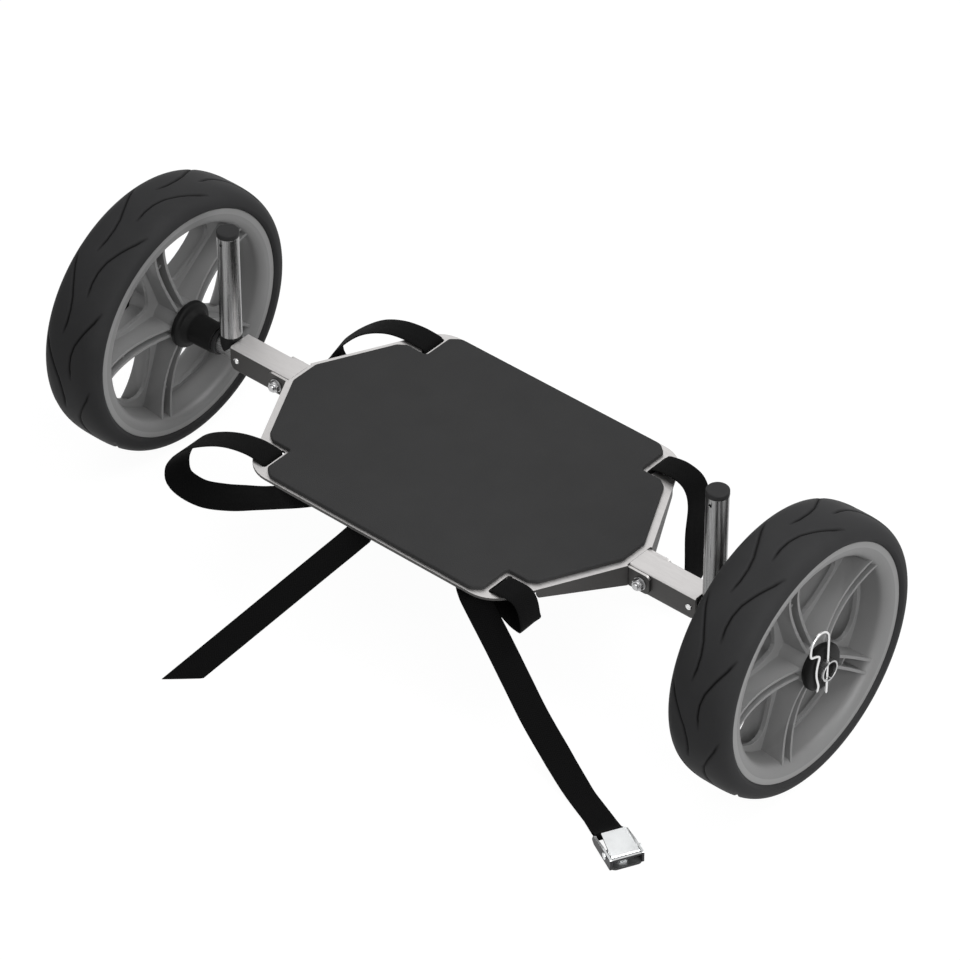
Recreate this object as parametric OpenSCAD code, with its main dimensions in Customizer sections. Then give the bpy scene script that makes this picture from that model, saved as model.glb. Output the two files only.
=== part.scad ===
// Folding paddleboard cart. A padded sheet-metal deck stands on two square arms that fold down
// about a bolt at each end. Each arm holds a round axle with an upright post and a moulded
// five-spoke wheel, kept on by a hairpin clip. One webbing strap with a cam buckle is threaded
// through four slots in the deck.
// X runs along the axles, Y runs to the back, Z is up, and the origin is on the ground below
// the middle of the deck.

/* [Deck] */
// Half length of the deck plate, from the middle to where an arm butts against it
deck_half = 193.6; // [180:0.2:215]
// Half depth of the deck plate, front to back
deck_half_y = 132; // [122:0.5:145]
// Half width of the plate's end, at the arm
end_half_y = 19; // [17:0.5:30]
// Distance from the middle to the sharp outer corner of the plate, along X
corner_x = 136; // [130:0.5:150]
// Radius of the plate's four outer corners
corner_r = 19; // [8:0.5:26]
// Thickness of the sheet metal
sheet = 2.5; // [2:0.1:3.2]
// Depth of the folded lip along the front and back edges
lip_depth = 7; // [4:0.5:12]
// Half length of that lip
lip_half = 105; // [60:1:112]
// Depth of a slanting flange at its shallow end
flange_low = 9; // [6:0.5:14]
// Depth of a slanting flange at the arm
flange_deep = 21.5; // [19:0.5:24]
// Distance from the plate's end to the shallow end of a flange, along the slanted edge
flange_run = 80; // [50:1:100]
// Distance that an ear reaches past the plate's end
ear_reach = 24; // [20:0.5:32]
// Distance from the middle to the centre of a strap slot, along X
slot_x = 129.5; // [127:0.5:136]
// Distance from the middle to the centre of a strap slot, along Y
slot_y = 105; // [100:0.5:108]
// Width of a strap slot
slot_w = 5.5; // [4:0.5:7]
// Length of a strap slot
slot_len = 28; // [27:0.5:32]

/* [Pad] */
// Thickness of the foam pad
pad_t = 4.5; // [3:0.5:8]
// Margin of bare metal that the pad leaves at the slanted edges and the ends
pad_margin = 2.5; // [1.5:0.5:8]
// Radius of the pad's outer corners
pad_corner_r = 13; // [6:0.5:16]
// Rounding of the pad's top edge
pad_edge = 1.2; // [0.5:0.1:2]

/* [Arms] */
// Outer size of the square arm tube
arm_size = 25; // [22:0.5:30]
// Wall of the arm tube
arm_wall = 2.25; // [1.5:0.25:3]
// Radius of the arm tube's long edges
arm_edge = 2.2; // [1:0.1:3]
// Distance from the arm's inner end to its pivot
pivot_in = 14.2; // [13:0.2:18]
// Distance from the pivot to the arm's outer end
arm_reach = 57.5; // [52:0.5:70]
// Radius of the pivot bolts
bolt_r = 3; // [2.5:0.25:4]
// Gap between an arm and each ear
ear_gap = 0.3; // [0.2:0.05:0.6]

/* [Axles and posts] */
// Radius of an axle tube
axle_r = 10; // [8:0.25:12]
// Wall of an axle tube
axle_wall = 1.5; // [1:0.1:2.5]
// Length of axle inside the arm
axle_hidden = 33.5; // [26:0.5:40]
// Outer radius of a post
post_r = 10; // [8:0.25:12]
// Wall of a post
post_wall = 1.5; // [1:0.1:2.5]
// Height of a post's foot above the arm
post_lift = 3; // [1:0.5:8]
// Length of a post
post_h = 108.5; // [80:0.5:150]
// Height of the domed cap above the post
cap_h = 5; // [2:0.1:8]
// Distance from the pivot to the snap button
button_x = 50.5; // [46:0.5:54]
// Radius of the snap button
button_r = 3; // [2:0.25:4]
// Travel of the snap button
button_travel = 4.3; // [4.2:0.1:4.6]

/* [Wheels] */
// Outer radius of the tyre
tyre_r = 130; // [118:1:150]
// Overall width of the tyre
tyre_w = 64; // [56:1:76]
// Distance from the middle of the cart to the middle of a wheel
wheel_x = 356.5; // [352:0.5:372]
// Height of the tyre over the rim's flanges
tyre_h = 18; // [12:0.5:24]
// How far the spokes' edges stand in from the rim's face, at the least
spoke_inset = 9.8; // [6:0.2:14]
// How far out they come again, at a barrel's radius from there
spoke_dish = 34.5; // [20:0.5:50]
// Width of the rim
rim_w = 58.6; // [52:0.2:62]
// Depth of the channel that the tyre sits in
channel_h = 13; // [10:0.5:15]
// Width of the flat ring round the outboard face
ring_out_w = 5; // [3:0.5:7]
// Width of the flat ring round the inboard face
ring_in_w = 8.5; // [5:0.5:9]
// Distance from a face of the rim to the tyre's channel
flange_t = 9; // [8:0.5:12]
// Wall of the rim's barrel
barrel_t = 4; // [3:0.5:6]
// Number of spokes
spokes = 5; // [4:1:7]
// Thickness of each of a spoke's two ribs
rib_t = 2.8; // [2:0.1:4]
// Width of the channel between the ribs, at the hub
channel_in = 4.5; // [3:0.5:6]
// Width of the channel between the ribs, at the rim
channel_out = 8; // [5:0.5:12]
// Thickness of the web on the wheel's middle plane
web_t = 4; // [2.5:0.5:6]
// Wall of the hub boss
hub_wall = 6; // [4:0.5:8]
// Wall of the bushes that the wheel turns on
bush_wall = 3; // [2:0.25:4]
// Reach of the inboard bush's flange past the hub boss
bush_flange_w = 3.4; // [2:0.2:6]
// Thickness of that flange
bush_flange_t = 5.8; // [3:0.2:8]
// Reach of the outboard bush's cap past the hub boss
hub_cap_w = 3; // [1:0.5:5]
// Thickness of that cap
hub_cap_t = 10.4; // [8:0.2:14]

/* [Hairpin] */
// Radius of the hairpin's wire
pin_r = 1.25; // [1:0.05:1.6]
// Distance from the axle's end to the hairpin
pin_in = 3.5; // [3:0.1:7]
// Reach of the straight leg below the axle's centreline
pin_low = 26; // [20:0.5:30]
// Height of the bow's centre above the axle's centreline
pin_high = 34.5; // [30:0.5:40]

/* [Strap] */
// Width of the webbing
web_w = 25; // [20:0.5:27]
// Thickness of the webbing
web_th = 1.5; // [1:0.1:2]

/* [Buckle] */
// Width of the buckle's frame
buckle_w = 31; // [30:0.5:36]
// Length of the buckle's frame
buckle_l = 39; // [38:0.5:44]
// Length of the lever
lever_l = 27.6; // [24:0.2:30]
// Height of the frame's side walls
buckle_h = 11; // [10:0.5:14]
// Thickness of the frame's sheet
buckle_t = 2; // [1.5:0.1:2.5]

/* [Hidden] */
$fn = 64;
// Heights follow from the wheels: the axles and pivots lie on one level.
axle_z = tyre_r;
plate_top = axle_z + arm_size / 2;
plate_low = plate_top - sheet;
arm_in = deck_half + 0.2;
pivot_x = arm_in + pivot_in;
arm_half = arm_size / 2;
bore_half = arm_half - arm_wall;
arm_end = pivot_x + arm_reach;
post_x = arm_end + 0.2 + post_r;
post_z = axle_z + arm_half + post_lift;
ear_in = arm_half + ear_gap;
ear_out = ear_in + sheet;
ear_end = deck_half + ear_reach;
rim_in = wheel_x - rim_w / 2;
rim_out = wheel_x + rim_w / 2;
boss_in = rim_in + 1.8;
boss_out = rim_out - 1.8;
spin_gap = 0.07;
hinge_gap = 0.06;
washer_r = 12.6;
washer_t = 3.5;
washer_x = post_x + post_r + 0.5;
sleeve_x = washer_x + washer_t + 0.4;
hub_cap_x = boss_out + hub_cap_t;
bush_r = axle_r + bush_wall;
hub_r = bush_r + hub_wall;
bush_flange_r = hub_r + bush_flange_w;
hub_cap_r = hub_r + hub_cap_w;
bead_r = tyre_r - tyre_h;
seat_r = bead_r - channel_h;
barrel_r = seat_r - barrel_t - 1;
axle_in = arm_end - axle_hidden;
pin_x = hub_cap_x + 0.7 + pin_r;
axle_out = pin_x + pin_in;
// The buckle lies on the ground at the end of its strap.
buckle_at = [316.9, -173.8, 0];
buckle_turn = -27.5;
mouth_u = 21;
pin_u = mouth_u - 11;
pin_h = buckle_h - 3.6;
rivet_r = 2;
bar_u = mouth_u - buckle_l + 2.2;
bar_h = 5;
bar_r = 1.5;
metal = "gainsboro";
steel = "silver";
dark = "dimgray";
black = [0.1, 0.1, 0.11];

// Points of a corner b between a and c, rounded to radius r.
function corner(a, b, c, r, n = 7) =
    let (u = (a - b) / norm(a - b), v = (c - b) / norm(c - b), half = acos(u * v) / 2,
         o = b + (u + v) / norm(u + v) * r / sin(half),
         s = b + u * r / tan(half) - o, e = b + v * r / tan(half) - o,
         a0 = atan2(s[1], s[0]), turn = (atan2(e[1], e[0]) - a0 + 540) % 360 - 180)
    [for (i = [0 : n]) o + r * [cos(a0 + turn * i / n), sin(a0 + turn * i / n)]];

// An outline of [x, y, r] corners, each rounded to its own r.
function rounded(p) = [for (i = [0 : len(p) - 1])
    let (n = len(p), a = p[(i + n - 1) % n], b = p[i], c = p[(i + 1) % n])
    each (b[2] > 0 ? corner([a[0], a[1]], [b[0], b[1]], [c[0], c[1]], b[2]) : [[b[0], b[1]]])];

// A quarter outline repeated in the four quadrants, in order.
function four(q) = concat(
    [for (p = q) [p[0], p[1], p[2]]],
    [for (i = [len(q) - 1 : -1 : 0]) [-q[i][0], q[i][1], q[i][2]]],
    [for (p = q) [-p[0], -p[1], p[2]]],
    [for (i = [len(q) - 1 : -1 : 0]) [q[i][0], -q[i][1], q[i][2]]]);

// Copies a shape to the four quadrants.
module quarters() {
    for (sx = [0, 1], sy = [0, 1]) mirror([sx, 0, 0]) mirror([0, sy, 0]) children();
}

// Copies a shape to both ends of the cart.
module both_ends() {
    children();
    mirror([1, 0, 0]) children();
}

module on_left() { mirror([1, 0, 0]) children(); }

// A cylinder along Y between two values of y.
module rod_y(x, z, r, y0, y1) {
    translate([x, y1, z]) rotate([90, 0, 0]) cylinder(r = r, h = y1 - y0);
}

// A cylinder along X between two values of x.
module rod_x(r, x0, x1) {
    translate([x0, 0, axle_z]) rotate([0, 90, 0]) cylinder(r = r, h = x1 - x0);
}

// A solid of revolution about the axle, from points [x, r].
module turned(profile) {
    translate([0, 0, axle_z]) rotate([90, 0, 90])
        rotate_extrude($fn = 96) polygon([for (p = profile) [p[1], p[0]]]);
}

// The deck. The slanted edge runs from the end of the plate to its corner.
slant = [corner_x, deck_half_y] - [deck_half, end_half_y];
slant_len = norm(slant);
slant_angle = atan2(slant[1], slant[0]);

module slot_hole(over) {
    reach = slot_len / 2 - slot_w / 2;
    translate([slot_x, slot_y, plate_low - 1]) {
        for (s = [-1, 1]) translate([0, s * reach, 0]) cylinder(d = slot_w, h = over, $fn = 32);
        translate([-slot_w / 2, -reach, 0]) cube([slot_w, 2 * reach, over]);
    }
}

// A slanting flange, which deepens towards the arm, seen square to the slanted edge.
module slant_flange() {
    translate([deck_half, end_half_y, plate_top]) rotate([0, 0, slant_angle]) rotate([90, 0, 0])
        translate([0, 0, -sheet]) mirror([0, 0, 1]) translate([0, 0, -sheet])
            linear_extrude(sheet) polygon(rounded([[-3.4, 0, 0], [flange_run, 0, 0],
                [flange_run, -flange_low, 3], [-3.4, -flange_deep, 0]]));
}

// An ear beside the arm, which holds one end of the pivot bolt.
module ear() {
    translate([0, ear_out, 0]) rotate([90, 0, 0]) linear_extrude(sheet)
        polygon(rounded([[deck_half - 4, plate_low + 0.6, 0], [ear_end, plate_low + 0.6, 4],
            [ear_end, plate_top - flange_deep, 5], [deck_half - 4, plate_top - flange_deep, 0]]));
}

module deck_plate() {
    color(metal) difference() {
        union() {
            translate([0, 0, plate_low]) linear_extrude(sheet)
                polygon(rounded(four([[deck_half, end_half_y, 1.5],
                    [corner_x, deck_half_y, corner_r]])));
            for (s = [0, 1]) mirror([0, s, 0])
                translate([-lip_half, deck_half_y - sheet, plate_top - lip_depth])
                    cube([2 * lip_half, sheet, lip_depth - sheet / 2]);
            quarters() slant_flange();
            quarters() ear();
        }
        quarters() slot_hole(2 * sheet);
        both_ends() rod_y(pivot_x, axle_z, bolt_r + 0.1, -ear_out - 1, ear_out + 1);
    }
}

// The pad follows the plate, with a notch that leaves each slot and its metal bare.
pad_x = deck_half - pad_margin + 0.4;
pad_y = deck_half_y - 1;
notch_x = slot_x - slot_w / 2 - 1;
notch_y = slot_y - slot_len / 2 + 1.5;
function slant_x(y) = deck_half - 2.4 * pad_margin
    + (y - end_half_y) * slant[0] / slant[1];

function pad_outline() = rounded(four([[pad_x, 12, 5], [slant_x(notch_y - 7), notch_y - 7, 5],
    [slant_x(notch_y) - 6, notch_y, 4], [notch_x, notch_y, 2],
    [notch_x, pad_y - 10, 4], [notch_x - 15, pad_y, pad_corner_r]]));

module deck_pad() {
    color(dark) translate([0, 0, plate_top]) {
        linear_extrude(pad_t - pad_edge) polygon(pad_outline());
        translate([0, 0, pad_t - pad_edge]) linear_extrude(pad_edge * 0.6)
            offset(delta = -pad_edge * 0.35) polygon(pad_outline());
        translate([0, 0, pad_t - pad_edge * 0.4]) linear_extrude(pad_edge * 0.4)
            offset(delta = -pad_edge) polygon(pad_outline());
    }
}

// Pivot fasteners: a hex bolt from the back, a washer on each ear and a nut at the front.
pivot_washer_t = 1;
head_h = 4;
nut_h = 5;
hex_r = 1.92 * bolt_r;

module hex_y(x, y0, y1) {
    translate([x, y1, axle_z]) rotate([90, 30, 0]) cylinder(r = hex_r, h = y1 - y0, $fn = 6);
}

module pivot_bolts() {
    face = ear_out + pivot_washer_t;
    color(steel) both_ends() {
        rod_y(pivot_x, axle_z, bolt_r, -face - nut_h - 1.5, face + 0.5);
        hex_y(pivot_x, face, face + head_h);
    }
}

module pivot_nuts() {
    face = ear_out + pivot_washer_t;
    color(steel) both_ends() difference() {
        union() {
            hex_y(pivot_x, -face - nut_h + 1.2, -face);
            rod_y(pivot_x, axle_z, bolt_r * 1.5, -face - nut_h, -face - 1);
        }
        rod_y(pivot_x, axle_z, bolt_r, -face - nut_h - 1, -face + 1);
    }
}

module pivot_washers() {
    color(steel) both_ends() for (s = [0, 1]) mirror([0, s, 0]) difference() {
        rod_y(pivot_x, axle_z, bolt_r * 2.1, ear_out, ear_out + pivot_washer_t);
        rod_y(pivot_x, axle_z, bolt_r, ear_out - 1, ear_out + pivot_washer_t + 1);
    }
}

// The arm, with its heel rounded about the pivot so that it can fold down past the plate.
heel_r = arm_half - 0.2;
end_round = 9;

function square_section(h, r) = rounded([[h, h, r], [-h, h, r], [-h, -h, r], [h, -h, r]]);

module arm_tube() {
    color(metal) difference() {
        intersection() {
            translate([arm_in, 0, axle_z]) rotate([90, 0, 90])
                linear_extrude(arm_end - arm_in) polygon(square_section(arm_half, arm_edge));
            translate([0, arm_half + 1, axle_z]) rotate([90, 0, 0]) linear_extrude(arm_size + 2)
                polygon(rounded([[arm_in, arm_half + 1, 0], [arm_end, arm_half + 1, 0],
                    [arm_end, -arm_half, end_round], [arm_in, -arm_half, heel_r]]));
        }
        translate([arm_in - 1, 0, axle_z]) rotate([90, 0, 90])
            linear_extrude(arm_end - arm_in + 2) polygon(square_section(bore_half, 0.8));
        rod_y(pivot_x, axle_z, bolt_r + hinge_gap, -arm_size, arm_size);
        rod_y(pivot_x + button_x, axle_z, button_r + 0.3, -arm_size, 0);
    }
}

// The axle, with a cross hole for the hairpin and a hole for the snap button.
module axle_tube() {
    color(steel) difference() {
        rod_x(axle_r, axle_in, axle_out);
        rod_x(axle_r - axle_wall, axle_in - 1, axle_out + 1);
        translate([pin_x, 0, axle_z - tyre_r / 2])
            cylinder(r = pin_r + 0.08, h = tyre_r, $fn = 32);
        rod_y(pivot_x + button_x, axle_z, button_r + 0.08, -arm_size, 0);
    }
}

// The saddle that seats the post on the axle: its mouth fits round the top of the tube.
module post_saddle() {
    stub = post_r - post_wall - 0.1;
    color(black) difference() {
        union() {
            translate([post_x, 0, axle_z]) cylinder(r = post_r, h = post_z - axle_z);
            translate([post_x, 0, post_z - 0.5]) cylinder(r = stub, h = 16);
        }
        rod_x(axle_r, post_x - 20, post_x + 20);
    }
}

module post() {
    color(steel) translate([post_x, 0, post_z]) difference() {
        cylinder(r = post_r, h = post_h);
        translate([0, 0, -1]) cylinder(r = post_r - post_wall, h = post_h + 2);
        translate([0, 0, post_h - 7]) rotate([90, 0, 0]) cylinder(r = 1.6, h = 2 * post_r, $fn = 24);
    }
}

module post_cap() {
    plug = post_r - post_wall - 0.05;
    color(dark) translate([post_x, 0, post_z + post_h]) rotate_extrude()
        polygon(concat([[0, -3.5], [plug, -3.5], [plug, 0], [post_r + 0.3, 0]],
            [for (a = [0 : 15 : 75]) [post_r + 0.3 - 1.2 * (1 - cos(a)), cap_h - 1.2 + 1.2 * sin(a)]],
            [[0, cap_h]]));
}

module axle_washer() {
    color(dark) difference() {
        rod_x(washer_r, washer_x, washer_x + washer_t);
        rod_x(axle_r, washer_x - 1, washer_x + washer_t + 1);
    }
}

// The snap button, which locks the axle in the arm, and its leaf spring inside the axle.
collar_y = axle_r - axle_wall - 1.5;
module snap_button() {
    tip = arm_half + 1.7;
    dome = 1.4;
    color(steel) translate([pivot_x + button_x, 0, axle_z]) rotate([90, 0, 0])
        rotate_extrude($fn = 48) polygon(concat(
            [[0, collar_y - 1.2], [button_r + 1.5, collar_y - 1.2], [button_r + 1.5, collar_y],
                [button_r, collar_y]],
            [for (a = [0 : 15 : 75]) [button_r * cos(a), tip - dome + dome * sin(a)]],
            [[0, tip]]));
}

module snap_spring() {
    y0 = -collar_y + 1.2;
    leaf = 0.6;
    color(steel) translate([pivot_x + button_x, 0, axle_z - 3]) linear_extrude(6)
        polygon(rounded([[5, y0, 0], [5, y0 + leaf, 0], [-16, y0 + leaf, 2.2], [-19, -1.2, 0.8],
            [-14, 0.4, 3], [5, 2.2, 0], [5, 2.8, 0], [-14, 1, 4], [-20, -1.2, 1.4],
            [-16, y0, 3]]));
}

// The tyre: a rounded tread over a base that sits in the rim's channel.
module tyre() {
    w = tyre_w / 2;
    side = tyre_r - bead_r;
    seat = rim_w / 2 - flange_t;
    // The outer line is a superellipse from bead to bead.
    arc = [for (a = [0 : 9 : 180]) let (c = cos(a), s = sin(a))
        [w * sign(c) * pow(abs(c), 0.62), bead_r + 3 + (side - 3) * pow(abs(s), 0.8)]];
    color([0.2, 0.2, 0.21]) translate([wheel_x, 0, 0]) turned(concat(
        [[seat, seat_r], [seat, bead_r], [rim_w / 2, bead_r]], arc,
        [[-rim_w / 2, bead_r], [-seat, bead_r], [-seat, seat_r]]));
}

// How far a spoke's edge stands from the wheel's middle plane at radius r: it dips mid-way.
function spoke_edge(r) = rim_w / 2 - spoke_inset + spoke_dish * pow(r / barrel_r - 0.62, 2);

// One opening between two spokes: a rounded field in polar coordinates about the axle.
win_in = hub_r + 12;
win_out = barrel_r - 4;
function window_point(t) =
    let (c = cos(t), s = sin(t), e = 0.62,
         r = (win_in + win_out) / 2 + (win_out - win_in) / 2 * sign(c) * pow(abs(c), e),
         half = 180 / spokes - asin((channel_out / 2 + rib_t + 2 + 120 / r) / r))
    r * [cos(half * sign(s) * pow(abs(s), e)), sin(half * sign(s) * pow(abs(s), e))];

module spoke() {
    spread = atan2((channel_out - channel_in) / 2, barrel_r - hub_r);
    inner = hub_r - 3;
    outer = bead_r - ring_out_w - 1;
    steps = 12;
    side = [for (i = [0 : steps]) let (r = inner + (outer - inner) * i / steps)
        [r, spoke_edge(r)]];
    for (s = [-1, 1])
        translate([0, s * (channel_in + rib_t) / 2, 0]) rotate([0, 0, s * spread])
            translate([0, rib_t / 2, 0]) rotate([90, 0, 0]) linear_extrude(rib_t)
                polygon(concat(side, [for (i = [steps : -1 : 0]) [side[i][0], -side[i][1]]]));
    for (s = [-1, 1]) translate([0.75 * barrel_r - 1.2, -channel_out / 2 - 0.5, s > 0 ? 0 : -15])
        cube([2.4, channel_out + 1, 15]);
}

// The line of the rim's inner wall from the flat ring on one face to that on the other: it rolls
// in from each ring and narrows a little to the middle plane.
function funnel(ring) = let (w = rim_w / 2, r = bead_r - ring, k = barrel_r + 1.4)
    [for (a = [0 : 15 : 90]) [w - 10 * (1 - cos(a)), r - (r - k) * sin(a)]];
inner_wall = concat([for (q = funnel(ring_in_w)) [-q[0], q[1]]], [[0, barrel_r]],
    [for (i = [6 : -1 : 0]) funnel(ring_out_w)[i]]);

// The rim's barrel, with a flange ring on each face and the channel that the tyre sits in.
module rim_barrel() {
    w = rim_w / 2;
    color([0.46, 0.46, 0.47]) translate([wheel_x, 0, 0]) turned(concat(inner_wall,
        [[w, bead_r], [w - flange_t, bead_r], [w - flange_t, seat_r], [-w + flange_t, seat_r],
            [-w + flange_t, bead_r], [-w, bead_r]]));
}

// The rim's middle, moulded in one with the barrel: hub boss, web with openings, double spokes.
module rim_spokes() {
    w = rim_w / 2;
    color([0.46, 0.46, 0.47]) difference() {
        union() {
            rod_x(hub_r, boss_in, boss_out);
            translate([wheel_x, 0, axle_z]) rotate([90, 0, 90]) {
                translate([0, 0, -web_t / 2]) linear_extrude(web_t) difference() {
                    circle(r = barrel_r + 2, $fn = 96);
                    circle(r = hub_r - 2);
                    for (k = [0 : spokes - 1]) rotate([0, 0, 360 / spokes * k])
                        polygon([for (t = [0 : 10 : 350]) window_point(t)]);
                }
                for (k = [0 : spokes - 1]) rotate([0, 0, 360 / spokes * (k + 0.5)]) spoke();
            }
        }
        translate([wheel_x, 0, 0]) turned(concat(inner_wall,
            [[w, bead_r + 9], [-w, bead_r + 9]]));
        rod_x(bush_r, boss_in - 10, boss_out + 10);
    }
}

module inboard_bush() {
    sleeve_r = bush_r + 0.4;
    flange_x = boss_in - bush_flange_t;
    color(black) difference() {
        turned([[sleeve_x, axle_r + 2], [sleeve_x, sleeve_r - 0.6], [sleeve_x + 0.8, sleeve_r],
            [flange_x - 6, sleeve_r + 0.8], [flange_x - 1, sleeve_r + 4], [flange_x, bush_flange_r - 1.5],
            [flange_x + 1.5, bush_flange_r], [boss_in, bush_flange_r], [boss_in, bush_r],
            [boss_in + 16, bush_r], [boss_in + 16, axle_r + 2]]);
        rod_x(axle_r + spin_gap, sleeve_x - 1, boss_in + 20);
    }
}

module outboard_bush() {
    color(black) difference() {
        turned([[boss_out - 16, axle_r - 2], [boss_out - 16, bush_r], [boss_out, bush_r],
            [boss_out, hub_r], [boss_out + 4, hub_cap_r], [hub_cap_x - 3, hub_cap_r],
            [hub_cap_x - 1, hub_cap_r - 0.8], [hub_cap_x, hub_cap_r - 2.8],
            [hub_cap_x, axle_r - 2]]);
        rod_x(axle_r + spin_gap, boss_out - 20, hub_cap_x + 1);
    }
}

// The hairpin clip lies in one plane across the axle: a straight leg through the cross hole,
// a bow above, and a sprung leg that wraps the front of the axle.
grip = axle_r + pin_r + 0.25;
bow = 12;
pin_line = concat([[0, -pin_low], [0, pin_high - 4]],
    [for (a = [0 : 20 : 180]) [-bow + bow * cos(a), pin_high + bow * sin(a)]],
    [[-2 * bow, pin_high - 4], [-2 * bow + 1.5, pin_high - 7.5], [-grip - 5, pin_high - 10],
        [-grip - 1, pin_high - 12.5], [-grip - 0.6, pin_high - 15.5], [-grip - 2.2, axle_r + 4],
        [-grip - 3.4, axle_r - 2], [-grip - 3.2, axle_r - 8], [-grip - 1.6, -axle_r + 5],
        [-grip - 0.3, -axle_r + 1], [-grip - 0.2, -axle_r - 2], [-grip - 1.4, -axle_r - 7]]);

module hairpin() {
    n = len(pin_line);
    s = 12;
    rings = [for (i = [0 : n - 1])
        let (t = pin_line[min(i + 1, n - 1)] - pin_line[max(i - 1, 0)], w = [-t[1], t[0]] / norm(t))
        [for (j = [0 : s - 1]) let (c = pin_r * cos(360 * j / s), d = pin_r * sin(360 * j / s))
            [d, pin_line[i][0] + c * w[0], pin_line[i][1] + c * w[1]]]];
    color(steel) translate([pin_x, 0, axle_z]) tube(rings);
}

// A closed skin over rings of points, each ring with the same number of points. The second half of
// each ring is split the other way, so that the two faces of a flat strap stay side by side.
module tube(rings) {
    n = len(rings);
    s = len(rings[0]);
    polyhedron([for (r = rings) each r],
        concat([[for (j = [0 : s - 1]) j]], [[for (j = [s - 1 : -1 : 0]) (n - 1) * s + j]],
            [for (i = [0 : n - 2], j = [0 : s - 1]) let (k = (j + 1) % s)
                each 2 * j < s
                    ? [[i * s + j, (i + 1) * s + j, (i + 1) * s + k],
                        [i * s + j, (i + 1) * s + k, i * s + k]]
                    : [[i * s + j, (i + 1) * s + j, i * s + k],
                        [(i + 1) * s + j, (i + 1) * s + k, i * s + k]]]));
}

// The webbing. Each station is a point on the middle of the strap and the direction of its width.
front_tail = [
    [[129.5, -105, 141.5], [0, 1, 0]], [[130, -105, 145], [0, 1, 0]],
    [[134, -105, 147], [0, 1, 0]], [[150, -105, 147], [0, 1, 0]],
    [[157, -105, 144.6], [0, 1, 0]], [[161.5, -105, 138], [0, 1, 0]],
    [[164, -105, 118], [0, 1, 0]], [[160, -104, 111], [0, 1, 0]],
    [[150, -102, 109], [0, 1, 0]], [[134, -99, 113], [0, 1, 0]],
    [[112, -97, 121], [0, 1, 0]], [[80, -98, 128], [0, 1, 0]],
    [[45, -105, 131], [0.1, 1, 0]], [[16, -117, 131.5], [-0.4, 0.9, -0.1]],
    [[-4, -133, 128], [-0.72, 0.68, 0.1]], [[-17, -148, 115], [-0.88, 0.2, 0.35]],
    [[-40, -176, 86], [-0.88, 0.3, 0.35]], [[-72, -214, 44], [-0.88, 0.3, 0.35]],
    [[-104, -252, 5.2], [-0.88, 0.3, 0.35]]];
front_run = [
    [[129.5, -105, 141.5], [0, 1, 0]], [[128, -105, 139], [0, 1, 0]],
    [[120, -105, 138.5], [0, 1, 0]], [[-120, -105, 138.5], [0, 1, 0]],
    [[-128, -105, 139], [0, 1, 0]], [[-129.5, -105, 141.5], [0, 1, 0]]];
middle = [
    [[-129.5, -105, 141.5], [0, 1, 0]], [[-130, -105, 145], [0, 1, 0]],
    [[-135, -105, 147], [0, 1, 0]], [[-152, -105, 145.5], [0, 1, 0]],
    [[-175, -105, 138], [0, 1, 0]], [[-198, -105, 127], [0, 1, 0.05]],
    [[-219, -105, 112], [0.1, 1, 0.15]], [[-235, -106, 93], [0.3, 0.9, 0.3]],
    [[-240, -107, 76], [0.35, 0.85, 0.4]], [[-230, -107, 64], [0.3, 0.8, 0.5]],
    [[-208, -106, 63], [-0.1, 0.65, 0.7]], [[-184, -105, 70], [-0.3, 0.55, 0.75]],
    [[-156, -105, 83], [-0.35, 0.55, 0.75]], [[-128, -105, 98], [-0.35, 0.55, 0.75]],
    [[-102, -102, 112], [-0.4, 0.55, 0.7]], [[-72, -78, 127], [-0.55, 0.65, 0.4]],
    [[-40, -40, 133.5], [-0.68, 0.73, 0]], [[0, 0, 134.5], [-0.68, 0.73, 0]],
    [[40, 38, 131], [-0.68, 0.73, 0]], [[76, 66, 112], [-0.6, 0.75, 0]],
    [[104, 88, 74], [-0.4, 0.85, 0]], [[126, 101, 34], [-0.2, 0.95, 0]],
    [[142, 105, 18], [0, 1, 0]], [[158, 105, 21], [0.1, 1, 0]],
    [[166, 105, 44], [0.15, 1, 0]], [[169, 105, 90], [0.15, 1, 0]],
    [[170, 105, 122], [0.15, 1, 0]], [[164, 105, 138], [0.1, 1, 0]],
    [[150, 105, 146.5], [0, 1, 0]], [[136, 105, 147.5], [0, 1, 0]],
    [[130, 105, 145], [0, 1, 0]], [[129.5, 105, 141.5], [0, 1, 0]]];
back_run = [
    [[129.5, 105, 141.5], [0, 1, 0]], [[128, 105, 139], [0, 1, 0]],
    [[120, 105, 138.5], [0, 1, 0]], [[-120, 105, 138.5], [0, 1, 0]],
    [[-128, 105, 139], [0, 1, 0]], [[-129.5, 105, 141.5], [0, 1, 0]]];
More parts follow.
